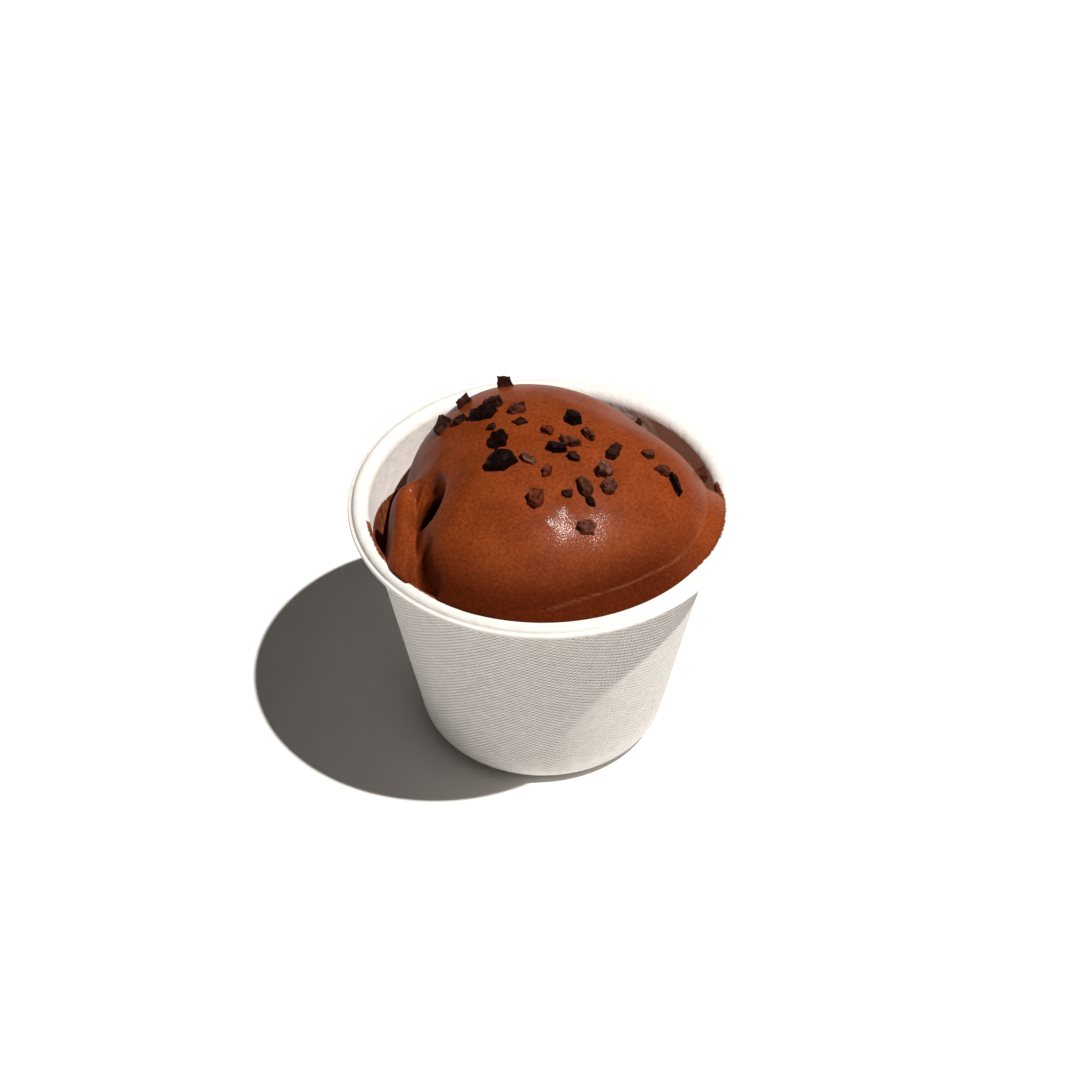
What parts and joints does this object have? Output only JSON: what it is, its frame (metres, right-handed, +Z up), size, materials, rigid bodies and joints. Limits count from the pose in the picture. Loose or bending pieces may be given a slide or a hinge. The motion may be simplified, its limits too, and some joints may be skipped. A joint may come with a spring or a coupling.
{
  "type": "gelato cup",
  "caption": "Tapered moulded fibre cup heaped with chocolate gelato that is strewn with cacao nibs.",
  "frame": {"origin": "centre of the cup's base, on the surface it stands on", "axes": "+Z up along the cup's axis, -Y towards the viewer of the picture, +X to the viewer's right"},
  "size_m": [0.08, 0.08, 0.0768],
  "materials": {
    "moulded_fibre": "matt moulded pulp with a fine net imprint",
    "chocolate_gelato": "soft sheen",
    "cacao_nib": "dark broken bean"
  },
  "bodies": {
    "root": {"cup": "moulded_fibre", "gelato": "chocolate_gelato"}
  },
  "joints": []
}
